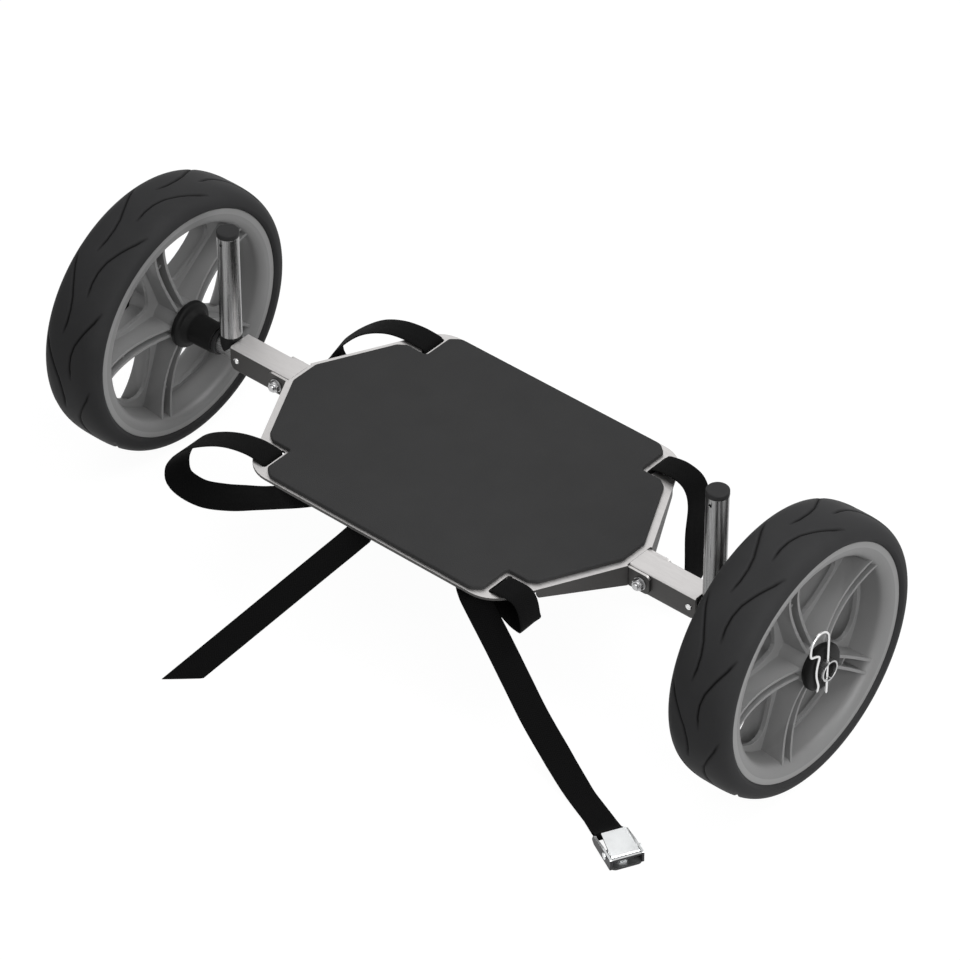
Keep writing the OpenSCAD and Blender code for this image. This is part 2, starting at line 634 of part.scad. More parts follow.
buckle_tail = [
    [[-129.5, 105, 141.5], [0, 1, 0]], [[-130, 105, 145], [0, 1, 0]],
    [[-135, 105, 147], [0, 1, 0]], [[-152, 105, 145.5], [0, 1, 0]],
    [[-175, 105, 138], [0, 1, 0]], [[-198, 105, 127], [0, 1, 0.05]],
    [[-219, 105, 112], [0.1, 1, 0.15]], [[-235, 104, 93], [0.3, 0.9, 0.3]],
    [[-240, 103, 76], [0.35, 0.85, 0.4]], [[-228, 102, 64], [0.3, 0.9, 0.3]],
    [[-204, 100, 66], [0.1, 0.95, 0.2]], [[-160, 94, 88], [0, 1, 0]],
    [[-112, 80, 116], [0.3, 0.9, 0]], [[-60, 44, 134], [0.6, 0.8, 0]],
    [[0, -6, 137.5], [0.64, 0.77, 0]], [[52, -62, 135.5], [0.64, 0.77, 0]],
    [[92, -103, 133.5], [0.6, 0.8, 0.05]], [[106, -114, 130.5], [0.5, 0.8, 0.25]],
    [[118, -120, 123], [0.5, 0.8, 0.33]], [[144, -123.5, 95], [0.5, 0.8, 0.33]],
    [[166, -126.5, 70], [0.5, 0.8, 0.33]], [[189, -129.5, 44], [0.5, 0.8, 0.33]],
    [[214, -132.5, 21], [0.5, 0.8, 0.3]], [[228, -137.3, 15], [0.45, 0.86, 0.15]],
    [[241, -141, 8.5], [0.4, 0.9, 0.1]], [[255, -146, 4.5], [0.38, 0.92, 0]],
    [[271, -152, 3.2], [0.38, 0.92, 0]], by_buckle(-30, 0, 3.2),
    by_buckle(bar_u - 4, 0, 5.6), by_buckle(bar_u - 1.6, 0, bar_h + bar_r + 0.9),
    by_buckle(bar_u + 1.2, 0, bar_h + bar_r + 0.7), by_buckle(bar_u + bar_r + 0.9, 0, bar_h),
    by_buckle(bar_u + 1.2, 0, bar_h - bar_r - 0.7), by_buckle(bar_u - 2, 0, bar_h - bar_r - 0.9),
    by_buckle(bar_u - 9, 0, 1), by_buckle(-46, 0, 0.95)];

// A station of the strap at the buckle, given along and across the buckle.
function by_buckle(u, v, z) = let (c = cos(buckle_turn), s = sin(buckle_turn))
    [buckle_at + [c * u - s * v, s * u + c * v, z], [-s, c, 0]];

function cross_unit(a, b) = let (c = cross(a, b)) c / norm(c);

// The ring of points round station i: the width is set square to the way that the strap runs.
function web_ring(path, i) =
    let (last = len(path) - 1, p = path[i][0],
         t = path[min(i + 1, last)][0] - path[max(i - 1, 0)][0],
         n = cross_unit(t, path[i][1]), w = cross_unit(n, t),
         a = web_w / 2, b = web_th / 2)
    [for (q = [[a, 0], [a - b, b], [b - a, b], [-a, 0], [b - a, -b], [a - b, -b]])
        p + q[0] * w + q[1] * n];

module webbing(path) {
    color(black) tube([for (i = [0 : len(path) - 1]) web_ring(path, i)]);
}

module strap_front_tail() { webbing(front_tail); }
module strap_front_run() { webbing(front_run); }
module strap_middle() { webbing(middle); }
module strap_back_run() { webbing(back_run); }
module strap_buckle_tail() { webbing(buckle_tail); }

// The cam buckle, on the ground at the end of the strap. Its own X points away from the strap.
module at_buckle() { translate(buckle_at) rotate([0, 0, buckle_turn]) children(); }

module buckle_frame() {
    half = buckle_w / 2;
    back = mouth_u - buckle_l;
    wall = rounded([[back, 2.6, 1.5], [back + 2, 7.6, 2], [pin_u - 6, buckle_h - 0.4, 4],
        [mouth_u, buckle_h, 1], [mouth_u, 0, 0.6], [back + 4, 0, 2]]);
    color("gainsboro") at_buckle() difference() {
        union() {
            for (s = [-1, 1]) translate([0, s * (half - buckle_t / 2) + buckle_t / 2, 0])
                rotate([90, 0, 0]) linear_extrude(buckle_t) polygon(wall);
            linear_extrude(1.4) polygon(rounded([[2, 1 - half, 0], [mouth_u + 1.4, 1 - half, 5],
                [mouth_u + 1.4, half - 1, 5], [2, half - 1, 0]]));
            translate([mouth_u - 1.8, -half + 1, buckle_h - 2.6]) cube([1.8, buckle_w - 2, 2]);
            translate([bar_u, half - 1, bar_h]) rotate([90, 0, 0])
                cylinder(r = bar_r, h = buckle_w - 2, $fn = 32);
        }
        translate([pin_u, half + 1, pin_h]) rotate([90, 0, 0])
            cylinder(r = rivet_r, h = buckle_w + 2, $fn = 48);
    }
}

module buckle_pin() {
    half = buckle_w / 2;
    color(steel) at_buckle() {
        translate([pin_u, half + 0.6, pin_h]) rotate([90, 0, 0])
            cylinder(r = rivet_r, h = buckle_w + 1.2, $fn = 48);
        for (s = [-1, 1]) translate([pin_u, s * (half + 0.6) + 0.6, pin_h]) rotate([90, 0, 0])
            cylinder(r = rivet_r + 1.1, h = 1.2, $fn = 48);
    }
}

module buckle_spring() {
    color(steel) at_buckle() translate([pin_u, 3.5, pin_h]) rotate([90, 0, 0]) difference() {
        cylinder(r = rivet_r + 0.9, h = 7, $fn = 32);
        translate([0, 0, -1]) cylinder(r = rivet_r, h = 9, $fn = 32);
    }
}

// The lever: a flat thumb plate over two cams, with teeth that bite the webbing.
cam_r = 4.4;
cam_line = [for (a = [0 : 10 : 350])
    let (r = cam_r + (a > 195 && a < 305 && a % 20 == 0 ? 0.9 : 0)) r * [cos(a), sin(a)]];

module buckle_lever() {
    half = buckle_w / 2 - buckle_t - 0.5;
    nose = mouth_u - 2.9;
    tip = nose - lever_l;
    color("white") at_buckle() difference() {
        union() {
            intersection() {
                translate([0, half, 0]) rotate([90, 0, 0]) linear_extrude(2 * half)
                    polygon(rounded([[tip, pin_h + 6.2, 0.6], [tip, pin_h + 7.8, 0.6],
                        [nose - 1, pin_h + 3.6, 1], [nose, pin_h + 2.6, 0.3],
                        [nose - 0.6, pin_h + 1.8, 0.3]]));
                linear_extrude(3 * buckle_h) polygon([[tip - 1, 2 - half], [nose + 1, -half],
                    [nose + 1, half], [tip - 1, half - 2]]);
            }
            for (v = [half, -4.5]) translate([pin_u, v, pin_h]) rotate([90, 0, 0])
                linear_extrude(half - 4.5) polygon(cam_line);
        }
        translate([pin_u, half + 1, pin_h]) rotate([90, 0, 0])
            cylinder(r = rivet_r + hinge_gap, h = 2 * half + 2, $fn = 48);
    }
}

deck_plate();
deck_pad();
pivot_bolts();
pivot_nuts();
pivot_washers();
on_left() arm_tube();  // arm_tube_left
arm_tube();  // arm_tube_right
on_left() axle_tube();  // axle_tube_left
axle_tube();  // axle_tube_right
on_left() post();  // post_left
post();  // post_right
on_left() post_saddle();  // post_saddle_left
post_saddle();  // post_saddle_right
on_left() post_cap();  // post_cap_left
post_cap();  // post_cap_right
on_left() axle_washer();  // axle_washer_left
axle_washer();  // axle_washer_right
on_left() snap_button();  // snap_button_left
snap_button();  // snap_button_right
on_left() snap_spring();  // snap_spring_left
snap_spring();  // snap_spring_right
on_left() tyre();  // tyre_left
tyre();  // tyre_right
on_left() rim_barrel();  // rim_barrel_left
rim_barrel();  // rim_barrel_right
on_left() rim_spokes();  // rim_spokes_left
rim_spokes();  // rim_spokes_right
on_left() inboard_bush();  // inboard_bush_left
inboard_bush();  // inboard_bush_right
on_left() outboard_bush();  // outboard_bush_left
outboard_bush();  // outboard_bush_right
on_left() hairpin();  // hairpin_left
hairpin();  // hairpin_right
strap_front_tail();
strap_front_run();
strap_middle();
strap_back_run();
strap_buckle_tail();
buckle_frame();
buckle_pin();
buckle_spring();
buckle_lever();
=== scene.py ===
import math

import bmesh
import bpy
import numpy as np
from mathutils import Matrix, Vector


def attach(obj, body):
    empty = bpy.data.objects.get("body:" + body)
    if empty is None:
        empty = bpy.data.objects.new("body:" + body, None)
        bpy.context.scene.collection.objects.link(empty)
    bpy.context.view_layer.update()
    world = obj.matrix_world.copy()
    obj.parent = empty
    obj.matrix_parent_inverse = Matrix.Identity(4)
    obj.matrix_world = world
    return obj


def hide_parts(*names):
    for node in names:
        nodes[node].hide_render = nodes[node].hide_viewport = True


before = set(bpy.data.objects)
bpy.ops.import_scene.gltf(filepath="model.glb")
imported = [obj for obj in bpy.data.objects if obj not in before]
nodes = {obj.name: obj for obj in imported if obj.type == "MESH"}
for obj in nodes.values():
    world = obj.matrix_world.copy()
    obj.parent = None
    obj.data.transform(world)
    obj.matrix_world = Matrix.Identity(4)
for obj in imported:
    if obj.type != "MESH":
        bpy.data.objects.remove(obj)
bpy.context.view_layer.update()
sideNames = {"left": -1, "right": 1}
print("frame loaded:", len(nodes), "nodes")


# camera

photoView = {  # angles in radians, the lens in millimetres, the rest in metres
    "azimuth": 0.711,
    "elevation": 0.681,
    "distance": 4.8225,
    "lens": 209.25,
    "target": (0.01622, 0.0, 0.13137),
}


def makeCamera(settings):
    az, el = settings["azimuth"], settings["elevation"]
    back = Vector((math.sin(az) * math.cos(el), -math.cos(az) * math.cos(el), math.sin(el)))
    data = bpy.data.cameras.new("photoCamera")
    data.lens = settings["lens"]
    data.sensor_width = 36
    data.clip_start = 0.1
    data.clip_end = 60
    camera = bpy.data.objects.new("photoCamera", data)
    bpy.context.scene.collection.objects.link(camera)
    camera.location = Vector(settings["target"]) + back * settings["distance"]
    camera.rotation_mode = "QUATERNION"
    camera.rotation_quaternion = (-back).to_track_quat("-Z", "Y")
    bpy.context.scene.camera = camera


makeCamera(photoView)
print("camera ready")


# mesh helpers

def gridFaces(rows, columns, closeRows=False, closeColumns=False):
    # quads between neighbouring rows and columns of a rows x columns grid of points
    i = np.arange(rows if closeRows else rows - 1)
    j = np.arange(columns if closeColumns else columns - 1)
    i, j = (a.ravel() for a in np.meshgrid(i, j, indexing="ij"))
    i2, j2 = (i + 1) % rows, (j + 1) % columns
    return np.stack([i * columns + j, i2 * columns + j, i2 * columns + j2, i * columns + j2], 1)


def makeObject(name, points, quads, caps=(), uv=None, smooth=True):
    # points n x 3 in metres, quads m x 4, caps are lists of point indices, uv is one pair a point
    mesh = bpy.data.meshes.new(name)
    faces = [tuple(map(int, q)) for q in quads] + [tuple(map(int, c)) for c in caps]
    mesh.from_pydata([tuple(p) for p in points], [], faces)
    if uv is not None:
        layer = mesh.uv_layers.new(name="UVMap")
        loops = np.zeros(len(mesh.loops), np.int32)
        mesh.loops.foreach_get("vertex_index", loops)
        layer.data.foreach_set("uv", np.asarray(uv, np.float32)[loops].ravel())
    mesh.polygons.foreach_set("use_smooth", np.full(len(mesh.polygons), smooth))
    mesh.update()
    obj = bpy.data.objects.new(name, mesh)
    bpy.context.scene.collection.objects.link(obj)
    return obj


def addBevel(obj, width, angle):
    bevel = obj.modifiers.new("roundedEdges", "BEVEL")
    bevel.width = width
    bevel.segments = 2
    bevel.limit_method = "ANGLE"
    bevel.angle_limit = math.radians(angle)
    bevel.harden_normals = False
    bevel.use_clamp_overlap = True


def dressNode(node, name, body, slotName, materials, width, angle=30, pick=None, reshape=None):
    # a merged copy of a CAD node with its sharp edges rounded; reshape may move its points first,
    # and pick chooses each face's material by its normal
    mesh = nodes[node].data.copy()
    mesh.name = name
    obj = bpy.data.objects.new(name, mesh)
    bpy.context.scene.collection.objects.link(obj)
    merge = obj.modifiers.new("merge", "WELD")
    merge.merge_threshold = 0.000005
    applyModifiers(obj)
    mesh = obj.data
    if reshape is not None:
        reshapeMesh(mesh, reshape)
    mesh.materials.clear()
    for m in materials:
        mesh.materials.append(m)
    if pick is not None:
        normal = np.zeros(len(mesh.polygons) * 3, np.float32)
        mesh.polygons.foreach_get("normal", normal)
        mesh.polygons.foreach_set("material_index", pick(normal.reshape(-1, 3)).astype(np.int32))
    else:
        mesh.polygons.foreach_set("material_index", np.zeros(len(mesh.polygons), np.int32))
    if width:
        addBevel(obj, width, angle)
    smoothByAngle(obj, angle)
    finishPiece(obj, body, slotName, node)


def applyModifiers(obj):
    depsgraph = bpy.context.evaluated_depsgraph_get()
    new = bpy.data.meshes.new_from_object(obj.evaluated_get(depsgraph))
    obj.modifiers.clear()
    obj.data = new


def reshapeMesh(mesh, reshape):
    # flat faces are joined first, so that they stay flat and whole when their outline moves
    work = bmesh.new()
    work.from_mesh(mesh)
    bmesh.ops.dissolve_limit(work, angle_limit=0.01, verts=work.verts, edges=work.edges)
    work.to_mesh(mesh)
    work.free()
    points = np.zeros(len(mesh.vertices) * 3, np.float32)
    mesh.vertices.foreach_get("co", points)
    moved = reshape(points.reshape(-1, 3).astype(float))
    mesh.vertices.foreach_set("co", moved.ravel().astype(np.float32))
    mesh.update()


def smoothByAngle(obj, angle):
    # shade smooth, with edges over the angle kept sharp
    mesh = obj.data
    mesh.polygons.foreach_set("use_smooth", np.ones(len(mesh.polygons), bool))
    mesh.set_sharp_from_angle(angle=math.radians(angle))


def finishPiece(obj, body, slotName, *cadNodes):
    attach(obj, body)
    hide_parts(*cadNodes)


def smoothRoute(points, spacing):
    # a Catmull-Rom curve through given points, sampled about every spacing metres;
    # each row is a point and the direction of the width there
    p = np.array(points, float)
    q = np.vstack([2 * p[0] - p[1], p, 2 * p[-1] - p[-2]])
    rows = []
    for k in range(len(p) - 1):
        a, b, c, d = q[k], q[k + 1], q[k + 2], q[k + 3]
        count = max(2, int(np.linalg.norm(c[:3] - b[:3]) / spacing))
        t = np.arange(count)[:, None] / count
        rows.append(0.5 * (2 * b + (c - a) * t + (2 * a - 5 * b + 4 * c - d) * t**2
                           + (3 * b - a - 3 * c + d) * t**3))
    rows.append(p[-1:])
    r = np.vstack(rows)
    return r[:, :3], r[:, 3:]


# material helpers

def newMaterial(name, colour, roughness, metallic=0.0, specular=0.5):
    material = bpy.data.materials.new(name)
    material.use_nodes = True
    shader = material.node_tree.nodes["Principled BSDF"]
    shader.inputs["Base Color"].default_value = (*colour, 1)
    shader.inputs["Roughness"].default_value = roughness
    shader.inputs["Metallic"].default_value = metallic
    shader.inputs["Specular IOR Level"].default_value = specular
    return material, material.node_tree, shader


def addNode(tree, kind, settings=None, **links):
    # makes a node; settings are its properties or socket values, links join sockets to it by name
    node = tree.nodes.new(kind)
    for key, value in (settings or {}).items():
        if hasattr(node, key):
            setattr(node, key, value)
        else:
            node.inputs[key].default_value = value
    for key, output in links.items():
        tree.links.new(output, node.inputs[key.replace("_", " ")])
    return node


def noise(tree, scale, detail=3.0, roughness=0.5, stretch=(1, 1, 1)):
    place = addNode(tree, "ShaderNodeTexCoord")
    mapping = addNode(tree, "ShaderNodeMapping", {"Scale": stretch},
                      Vector=place.outputs["Object"])
    return addNode(tree, "ShaderNodeTexNoise",
                   {"Scale": scale, "Detail": detail, "Roughness": roughness},
                   Vector=mapping.outputs["Vector"])


def spread(tree, value, low, high, fromLow=0.3, fromHigh=0.7):
    # maps a value's range to low and high; a noise lies mostly between 0.3 and 0.7
    node = addNode(tree, "ShaderNodeMapRange",
                   {"From Min": fromLow, "From Max": fromHigh, "To Min": low, "To Max": high},
                   Value=value)
    return node.outputs["Result"]


def mixColour(tree, factor, first, second):
    node = tree.nodes.new("ShaderNodeMix")
    node.data_type = "RGBA"
    tree.links.new(factor, node.inputs["Factor"])
    for socket, value in ((node.inputs["A"], first), (node.inputs["B"], second)):
        if isinstance(value, tuple):
            socket.default_value = (*value, 1)
        else:
            tree.links.new(value, socket)
    return node.outputs["Result"]


def bump(tree, shader, height, strength, distance):
    node = addNode(tree, "ShaderNodeBump", {"Strength": strength, "Distance": distance},
                   Height=height)
    tree.links.new(node.outputs["Normal"], shader.inputs["Normal"])


metalGrain = {"scratchScale": 90, "cloudScale": 9, "scratchShare": 0.7, "depth": 0.0002}


def grainedMetal(name, light, dark, roughness, stretch, metallic=1.0):
    # brushed metal: long fine scratches in one direction over slow changes of tone
    material, tree, shader = newMaterial(name, light, roughness, metallic)
    scratches = noise(tree, metalGrain["scratchScale"], 4, 0.6, stretch)
    clouds = noise(tree, metalGrain["cloudScale"], 2)
    tone = addNode(tree, "ShaderNodeMath", {"operation": "ADD"})
    share = metalGrain["scratchShare"]
    tree.links.new(spread(tree, scratches.outputs["Fac"], 0, share), tone.inputs[0])
    tree.links.new(spread(tree, clouds.outputs["Fac"], 0, 1 - share), tone.inputs[1])
    tree.links.new(mixColour(tree, tone.outputs["Value"], dark, light), shader.inputs["Base Color"])
    tree.links.new(spread(tree, scratches.outputs["Fac"], roughness - 0.06, roughness + 0.08),
                   shader.inputs["Roughness"])
    bump(tree, shader, scratches.outputs["Fac"], 0.12, metalGrain["depth"])
    return material


plasticGrain = {"scale": 1200, "cloudScale": 14, "depth": 0.0001}


def mouldedPlastic(name, light, dark, roughness, specular):
    # moulded plastic: a fine spark-eroded grain, with slow changes of tone
    material, tree, shader = newMaterial(name, light, roughness, specular=specular)
    grain = noise(tree, plasticGrain["scale"], 4, 0.6)
    clouds = noise(tree, plasticGrain["cloudScale"], 3)
    tree.links.new(mixColour(tree, spread(tree, clouds.outputs["Fac"], 0, 1), dark, light),
                   shader.inputs["Base Color"])
    tree.links.new(spread(tree, grain.outputs["Fac"], roughness - 0.07, roughness + 0.07),
                   shader.inputs["Roughness"])
    bump(tree, shader, grain.outputs["Fac"], 0.25, plasticGrain["depth"])
    return material


# ring is the lighter colour of the flat rings outside a radius, painted light; light and dark, in
# random patches, colour the darker faces that lead inwards, painted shade
rimFinish = {"axleHeight": 0.13, "paintedLightFrom": 0.1063, "paintedLightTo": 0.1067, "grainScale": 1400,
             "ring": (0.27, 0.27, 0.27), "light": (0.225, 0.225, 0.225),
             "dark": (0.205, 0.205, 0.205)}


def makeRimPlastic():
    # the rim's plastic; its flat rings are a little lighter, painted light, than the faces that
    # lead inwards, which are darker as painted shade
    material, tree, shader = newMaterial("rimPlastic", (0.235, 0.235, 0.235), 0.45)
    grain = noise(tree, rimFinish["grainScale"], 4, 0.6)
    clouds = noise(tree, plasticGrain["cloudScale"], 3)
    place = addNode(tree, "ShaderNodeTexCoord")
    aboutAxle = addNode(tree, "ShaderNodeVectorMath", {"operation": "MULTIPLY_ADD"},
                        Vector=place.outputs["Object"])
    aboutAxle.inputs[1].default_value = (0, 1, 1)
    aboutAxle.inputs[2].default_value = (0, 0, -rimFinish["axleHeight"])
    radius = addNode(tree, "ShaderNodeVectorMath", {"operation": "LENGTH"},
                     Vector=aboutAxle.outputs["Vector"])
    # lighter outside this radius: the painted light of the flat rings
    ring = spread(tree, radius.outputs["Value"], 0, 1, rimFinish["paintedLightFrom"], rimFinish["paintedLightTo"])
    inside = mixColour(tree, spread(tree, clouds.outputs["Fac"], 0, 1), rimFinish["dark"],
                       rimFinish["light"])
    tree.links.new(mixColour(tree, ring, inside, rimFinish["ring"]), shader.inputs["Base Color"])
    tree.links.new(spread(tree, grain.outputs["Fac"], 0.38, 0.52), shader.inputs["Roughness"])
    bump(tree, shader, grain.outputs["Fac"], 0.25, plasticGrain["depth"])
    return material


rubberFinish = {"grainScale": 900, "grainDepth": 0.0001, "dustScale": 22,
                "light": (0.04, 0.04, 0.041), "dark": (0.033, 0.033, 0.034),
                "groove": (0.004, 0.004, 0.004)}


def makeTyreRubber():
    # soft moulded rubber, duller inside the cut grooves, and darker there as painted shade
    material, tree, shader = newMaterial("tyreRubber", (0.03, 0.03, 0.031), 0.65, specular=0.05)
    grain = noise(tree, rubberFinish["grainScale"], 3, 0.6)
    dust = noise(tree, rubberFinish["dustScale"], 5, 0.6)
    groove = addNode(tree, "ShaderNodeAttribute", {"attribute_name": "groove"})
    tone = mixColour(tree, spread(tree, dust.outputs["Fac"], 0, 1), rubberFinish["dark"],
                     rubberFinish["light"])
    # darker with the depth of the cut: painted shade in the grooves
    tree.links.new(mixColour(tree, groove.outputs["Fac"], tone, rubberFinish["groove"]),
                   shader.inputs["Base Color"])
    tree.links.new(spread(tree, dust.outputs["Fac"], 0.5, 0.62), shader.inputs["Roughness"])
    bump(tree, shader, grain.outputs["Fac"], 0.3, rubberFinish["grainDepth"])
    return material


foamFinish = {"cellScale": 900, "cellDepth": 0.0003, "cloudScale": 30,
              "light": (0.0375, 0.0375, 0.038), "dark": (0.0345, 0.0345, 0.035)}


def makePadFoam():
    # closed-cell foam with a fine pebbled skin
    material, tree, shader = newMaterial("padFoam", (0.036, 0.036, 0.037), 0.85, specular=0.2)
    place = addNode(tree, "ShaderNodeTexCoord")
    cells = addNode(tree, "ShaderNodeTexVoronoi", {"Scale": foamFinish["cellScale"]},
                    Vector=place.outputs["Object"])
    clouds = noise(tree, foamFinish["cloudScale"], 4)
    tree.links.new(mixColour(tree, spread(tree, clouds.outputs["Fac"], 0, 1), foamFinish["dark"],
                             foamFinish["light"]), shader.inputs["Base Color"])
    bump(tree, shader, cells.outputs["Distance"], 0.35, foamFinish["cellDepth"])
    return material


webbing = {  # lengths in metres; the weave is threads in ribs, and the free tip is cut on a slant
    "width": 0.025, "thickness": 0.0015, "spacing": 0.003, "ringPoints": 20,
    "ribs": 6, "threadPitch": 0.0021, "threadSlope": 0.9, "threadDepth": 0.0004, "sheen": 0.03,
    "thread": (0.006, 0.006, 0.0062), "shadedGap": (0.0025, 0.0025, 0.0025),
    "tipSlope": 1.05, "tipLength": 0.03,
}


def makeWebbing():
    # woven webbing: herringbone ribs along the strap, from its own UV map in metres; the low parts
    # between the threads are darker, painted shade
    material, tree, shader = newMaterial("webbingBlack", (0.005, 0.005, 0.005), 0.85, specular=0.05)
    place = addNode(tree, "ShaderNodeTexCoord")
    parts = addNode(tree, "ShaderNodeSeparateXYZ", Vector=place.outputs["UV"])
    pitch = webbing["threadPitch"]
    rib = addNode(tree, "ShaderNodeMath", {"operation": "PINGPONG"})
    rib.inputs[1].default_value = webbing["width"] / webbing["ribs"]
    tree.links.new(parts.outputs["X"], rib.inputs[0])
    slant = addNode(tree, "ShaderNodeMath", {"operation": "MULTIPLY_ADD"})
    slant.inputs[1].default_value = webbing["threadSlope"]
    tree.links.new(rib.outputs["Value"], slant.inputs[0])
    tree.links.new(parts.outputs["Y"], slant.inputs[2])
    thread = addNode(tree, "ShaderNodeMath", {"operation": "PINGPONG"})
    thread.inputs[1].default_value = pitch / 2
    tree.links.new(slant.outputs["Value"], thread.inputs[0])
    height = spread(tree, thread.outputs["Value"], 0, 1, 0, pitch / 2)
    # darker where the weave is low, between the threads: painted shade
    tree.links.new(mixColour(tree, height, webbing["shadedGap"], webbing["thread"]),
                   shader.inputs["Base Color"])
    shader.inputs["Sheen Weight"].default_value = webbing["sheen"]
    bump(tree, shader, height, 0.3, webbing["threadDepth"])
    return material


# the sheet metal comes in two copies of one metal: a lighter one for top faces, painted light, and
# a darker one for the other faces, painted shade
# light and dark tone, roughness, how the scratches stretch and, below 1, how metallic
sheetPaintedLight = grainedMetal("sheetTopPaintedLight", (0.68, 0.665, 0.66), (0.58, 0.565, 0.56), 0.42, (1, 14, 14))
sheetPaintedShade = grainedMetal("sheetSidesPaintedShade", (0.085, 0.082, 0.08), (0.06, 0.058, 0.057), 0.5,
                         (1, 14, 14), 0.6)
tubeMetal = grainedMetal("tubeMetal", (0.4, 0.4, 0.4), (0.13, 0.13, 0.13), 0.25, (40, 40, 0.3))
axleMetal = grainedMetal("axleMetal", (0.6, 0.6, 0.6), (0.4, 0.4, 0.4), 0.28, (0.3, 30, 30))
zincMetal = grainedMetal("zincMetal", (0.55, 0.55, 0.55), (0.4, 0.4, 0.41), 0.3, (5, 5, 5))
springSteel = grainedMetal("springSteel", (0.8, 0.8, 0.8), (0.68, 0.68, 0.68), 0.16, (1, 1, 1))
# buckleChrome is also the lighter copy on the buckle's top faces, painted light; buckleShade is its
# darker copy for the other faces, painted shade
buckleChrome = grainedMetal("buckleChrome", (0.76, 0.775, 0.78), (0.72, 0.735, 0.74), 0.32,
                            (1, 1, 1))
buckleShade = grainedMetal("buckleShade", (0.04, 0.04, 0.042), (0.022, 0.022, 0.024), 0.45,
                           (1, 1, 1), 0.6)
rimPlastic = makeRimPlastic()
blackPlastic = mouldedPlastic("blackPlastic", (0.011, 0.011, 0.011), (0.008, 0.008, 0.008),
                              0.5, 0.1)
capPlastic = mouldedPlastic("capPlastic", (0.028, 0.028, 0.0285), (0.024, 0.024, 0.0245),
                            0.6, 0.15)
tyreRubber = makeTyreRubber()
padFoam = makePadFoam()
webbingBlack = makeWebbing()
print("materials ready")


# the strap, one flat cord for each stretch between slots

tailWidth = (0.522, 0.388, -0.76)  # the width's direction where the front tail hangs

strapRoutes = {  # points of the route in metres and the direction of the width at each
    "strap_front_tail": [
        (0.1295, -0.106, 0.1415, 0, 1, 0), (0.1305, -0.106, 0.1438, 0, 1, 0),
        (0.136, -0.106, 0.1445, 0, 1, 0), (0.15, -0.106, 0.1447, 0, 1, 0),
        (0.1565, -0.106, 0.1418, 0, 1, 0), (0.161, -0.106, 0.134, 0, 1, 0),
        (0.1635, -0.106, 0.1205, 0, 1, 0), (0.16, -0.104, 0.1145, 0, 1, 0),
        (0.15, -0.102, 0.1125, 0, 1, 0), (0.134, -0.099, 0.1155, 0, 1, 0),
        (0.112, -0.097, 0.121, 0, 1, 0), (0.08, -0.098, 0.128, 0, 1, 0),
        (0.045, -0.106, 0.131, 0.1, 1, 0), (0.016, -0.109, 0.1328, 0.35, 0.85, -0.2),
        (-0.003, -0.1125, 0.1325, 0.42, 0.75, -0.42), (-0.0142, -0.1193, 0.1305, *tailWidth),
        (-0.0238, -0.1332, 0.1178, *tailWidth), (-0.0479, -0.1681, 0.0835, *tailWidth),
        (-0.079, -0.2133, 0.039, *tailWidth), (-0.1057, -0.252, 0.0009, *tailWidth)],
    "strap_front_run": [
        (0.1295, -0.106, 0.1415, 0, 1, 0), (0.128, -0.106, 0.139, 0, 1, 0),
        (0.12, -0.106, 0.1385, 0, 1, 0), (-0.12, -0.106, 0.1385, 0, 1, 0),
        (-0.128, -0.106, 0.139, 0, 1, 0), (-0.1295, -0.106, 0.1415, 0, 1, 0)],
    "strap_middle": [
        (-0.1295, -0.106, 0.1415, 0, 1, 0), (-0.1305, -0.106, 0.1438, 0, 1, 0),
        (-0.136, -0.106, 0.1447, 0, 1, 0), (-0.152, -0.106, 0.1448, 0, 1, 0),
        (-0.175, -0.106, 0.1395, 0, 1, 0), (-0.198, -0.106, 0.129, 0, 1, 0.05),
        (-0.221, -0.106, 0.1135, 0.1, 1, 0.15), (-0.2375, -0.106, 0.094, 0.3, 0.9, 0.3),
        (-0.2445, -0.107, 0.0765, 0.3, 0.85, 0.45), (-0.2405, -0.107, 0.0615, 0.15, 0.75, 0.6),
        (-0.217, -0.106, 0.0585, -0.15, 0.5, 0.8), (-0.186, -0.106, 0.07, -0.35, 0.25, 0.85),
        (-0.156, -0.106, 0.0855, -0.4, 0, 0.9), (-0.128, -0.106, 0.1005, -0.42, -0.15, 0.9),
        (-0.104, -0.103, 0.1138, -0.45, -0.05, 0.85), (-0.072, -0.078, 0.127, -0.55, 0.65, 0.4),
        (-0.04, -0.04, 0.1335, -0.68, 0.73, 0), (0, 0, 0.1345, -0.68, 0.73, 0),
        (0.04, 0.038, 0.131, -0.68, 0.73, 0), (0.076, 0.066, 0.112, -0.6, 0.75, 0),
        (0.104, 0.088, 0.074, -0.4, 0.85, 0), (0.126, 0.101, 0.034, -0.2, 0.95, 0),
        (0.142, 0.106, 0.018, 0, 1, 0), (0.162, 0.106, 0.021, 0.1, 1, 0),
        (0.1715, 0.106, 0.044, 0.15, 1, 0), (0.1715, 0.106, 0.092, 0.15, 1, 0),
        (0.1735, 0.106, 0.127, 0.15, 1, 0), (0.1675, 0.106, 0.1435, 0.1, 1, 0),
        (0.153, 0.106, 0.149, 0, 1, 0), (0.138, 0.106, 0.1475, 0, 1, 0),
        (0.13, 0.106, 0.145, 0, 1, 0), (0.1295, 0.106, 0.1415, 0, 1, 0)],
    "strap_back_run": [
        (0.1295, 0.106, 0.1415, 0, 1, 0), (0.128, 0.106, 0.139, 0, 1, 0),
        (0.12, 0.106, 0.1385, 0, 1, 0), (-0.12, 0.106, 0.1385, 0, 1, 0),
        (-0.128, 0.106, 0.139, 0, 1, 0), (-0.1295, 0.106, 0.1415, 0, 1, 0)],
}

